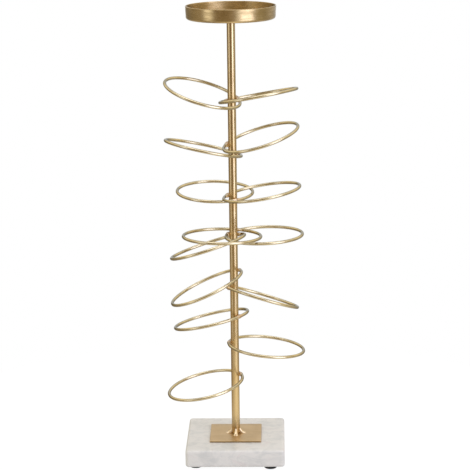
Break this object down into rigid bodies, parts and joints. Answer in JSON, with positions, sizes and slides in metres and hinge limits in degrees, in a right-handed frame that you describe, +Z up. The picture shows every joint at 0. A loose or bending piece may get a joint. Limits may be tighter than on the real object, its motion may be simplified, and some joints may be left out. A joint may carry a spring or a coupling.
{
  "type": "candle holder",
  "caption": "Tall candle holder: a shallow round dish on a thin stem threaded through tilted wire rings, standing on a square plate and a marble block.",
  "frame": {"origin": "on the surface that the feet stand on, below the stem's axis at the middle of the marble block", "axes": "+Z up along the stem, -Y towards the front of the picture, +X to its right"},
  "size_m": [0.1604, 0.1552, 0.5272],
  "materials": {
    "marble": "honed pale marble with soft grey clouds",
    "polished_brass": "polished brass-coloured tube",
    "brushed_brass": "brushed round the axis",
    "satin_brass": "satin sheet",
    "ring_brass": "satin wire",
    "steel": "zinc plated",
    "rubber": "matt black"
  },
  "bodies": {
    "root": {"marble_base": "marble", "base_plate": "satin_brass", "stem": "polished_brass", "candle_pan": "brushed_brass", "stem_foot_insert": "steel", "stem_head_insert": "steel", "base_bolt": "steel", "base_washer": "steel", "pan_screw": "steel", "ring_01": "ring_brass", "ring_02": "ring_brass", "ring_03": "ring_brass", "ring_04": "ring_brass", "ring_05": "ring_brass", "ring_06": "ring_brass", "ring_07": "ring_brass", "ring_08": "ring_brass", "ring_09": "ring_brass", "ring_10": "ring_brass", "ring_11": "ring_brass", "ring_12": "ring_brass", "ring_13": "ring_brass", "ring_14": "ring_brass", "foot_front_left": "rubber", "foot_front_right": "rubber", "foot_back_left": "rubber", "foot_back_right": "rubber"}
  },
  "joints": []
}
